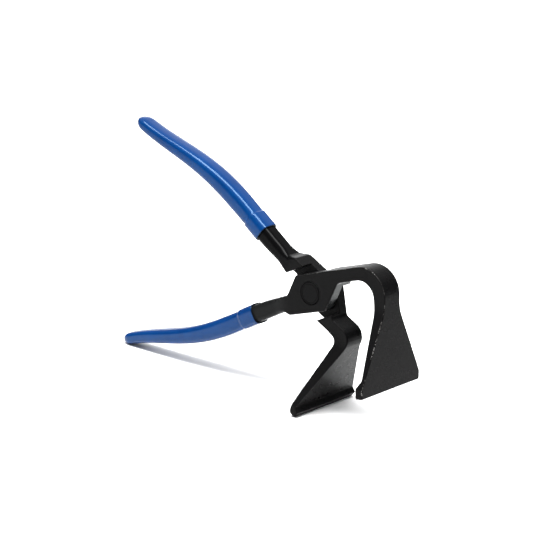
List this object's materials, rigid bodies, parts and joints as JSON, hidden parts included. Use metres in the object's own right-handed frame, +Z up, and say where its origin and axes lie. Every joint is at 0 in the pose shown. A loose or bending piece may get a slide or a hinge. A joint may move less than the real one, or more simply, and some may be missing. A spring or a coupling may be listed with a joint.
{
  "type": "wide-jaw bent pliers",
  "caption": "Hand pliers with wide fan-shaped jaws bent square to the handles, lapped at one flush rivet, with dipped plastic grips.",
  "frame": {"origin": "middle of the pliers' box on the surface they stand on, under the inner jaw's lip and the lower grip's tip", "axes": "+X towards the jaws, +Y along the pivot, +Z up"},
  "size_m": [0.223, 0.06, 0.1585],
  "materials": {
    "black_steel": "satin black coating on forged steel",
    "rivet_steel": "satin black, dressed flush",
    "blue_grip": "semi-gloss dipped vinyl"
  },
  "bodies": {
    "outer_lever": {"outer_jaw_lever": "black_steel", "pivot_rivet": "rivet_steel", "outer_lever_grip": "blue_grip"},
    "inner_lever": {"inner_jaw_lever": "black_steel", "inner_lever_grip": "blue_grip"}
  },
  "joints": [
    {"name": "jaw_pivot", "type": "hinge", "parent": "outer_lever", "child": "inner_lever", "pos_m": [0.05022, 0, 0.07416], "axis": [0, -1, 0], "range_deg": [-44, 40]}
  ]
}
